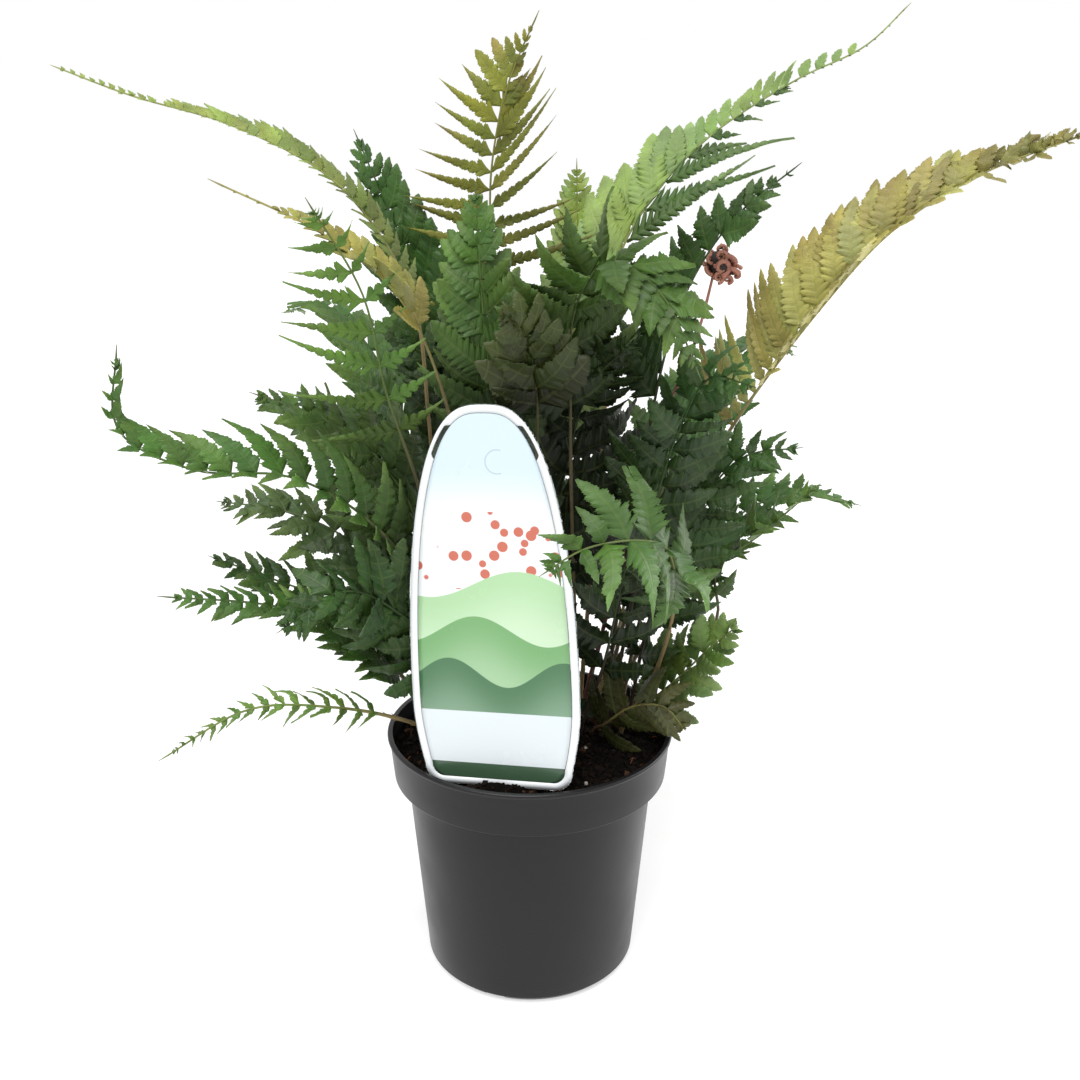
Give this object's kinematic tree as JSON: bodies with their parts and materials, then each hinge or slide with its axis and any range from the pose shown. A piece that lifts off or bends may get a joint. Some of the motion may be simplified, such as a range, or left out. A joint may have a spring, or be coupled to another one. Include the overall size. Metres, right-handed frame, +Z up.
{
  "type": "potted fern",
  "caption": "Bushy fern with arching divided fronds and a furled young frond, growing in a round tapered nursery pot of soil with an upright plant label.",
  "frame": {"origin": "centre of the flat underside of the pot", "axes": "+Z up, +Y away from the side that the plant label stands on, +X to the right as seen from that side"},
  "size_m": [0.3813, 0.2465, 0.3954],
  "materials": {
    "pot": "moulded dark grey plastic, slightly shiny, fine scuffs",
    "soil": "damp dark potting soil with bark crumbs and a few white grains",
    "rootstock": "dark brown, covered with papery scales",
    "label": "thin glossy printed plastic with a clear edge band",
    "leaf_mid": "leathery leaf, satin, mid green",
    "leaf_dark": "leathery leaf, satin, dark green",
    "leaf_light": "thin young leaf, satin, light green, lets light through",
    "leaf_olive": "thin young leaf, satin, olive to yellow",
    "leaf_brown": "leathery leaf, satin, brown-green",
    "furled": "reddish brown, thick with fine scales"
  },
  "bodies": {
    "root": {"pot": "pot", "soil": "soil", "rootstock_left": "rootstock", "rootstock_centre": "rootstock", "rootstock_right": "rootstock", "label": "label", "frond_furled": "furled", "frond_left_high": "leaf_light", "frond_top_centre": "leaf_olive", "frond_right_high": "leaf_light", "frond_right_olive": "leaf_olive", "frond_right_low": "leaf_mid", "frond_front_light": "leaf_light", "frond_centre_sweep": "leaf_mid", "frond_left_ladder": "leaf_mid", "frond_left_low": "leaf_mid", "frond_upper_mid": "leaf_mid", "frond_top_left_dark": "leaf_dark", "frond_left_tan": "leaf_olive", "frond_right_dark": "leaf_dark", "frond_left_mid": "leaf_mid", "frond_left_dark": "leaf_dark", "frond_left_grey": "leaf_mid", "frond_left_shelf": "leaf_mid", "frond_left_floor": "leaf_mid", "frond_left_bottom": "leaf_light", "frond_left_inner": "leaf_dark", "frond_front_brown": "leaf_brown", "frond_centre_dark": "leaf_dark", "frond_centre_back": "leaf_dark", "frond_right_mass": "leaf_dark", "frond_right_fill": "leaf_dark", "frond_right_under": "leaf_dark", "frond_right_sprig": "leaf_light", "frond_rim_right": "leaf_brown", "frond_light_back": "leaf_light", "frond_back_left": "leaf_mid", "frond_back": "leaf_mid", "frond_back_right": "leaf_mid", "frond_back_low": "leaf_light", "frond_right_back": "leaf_mid"}
  },
  "joints": []
}
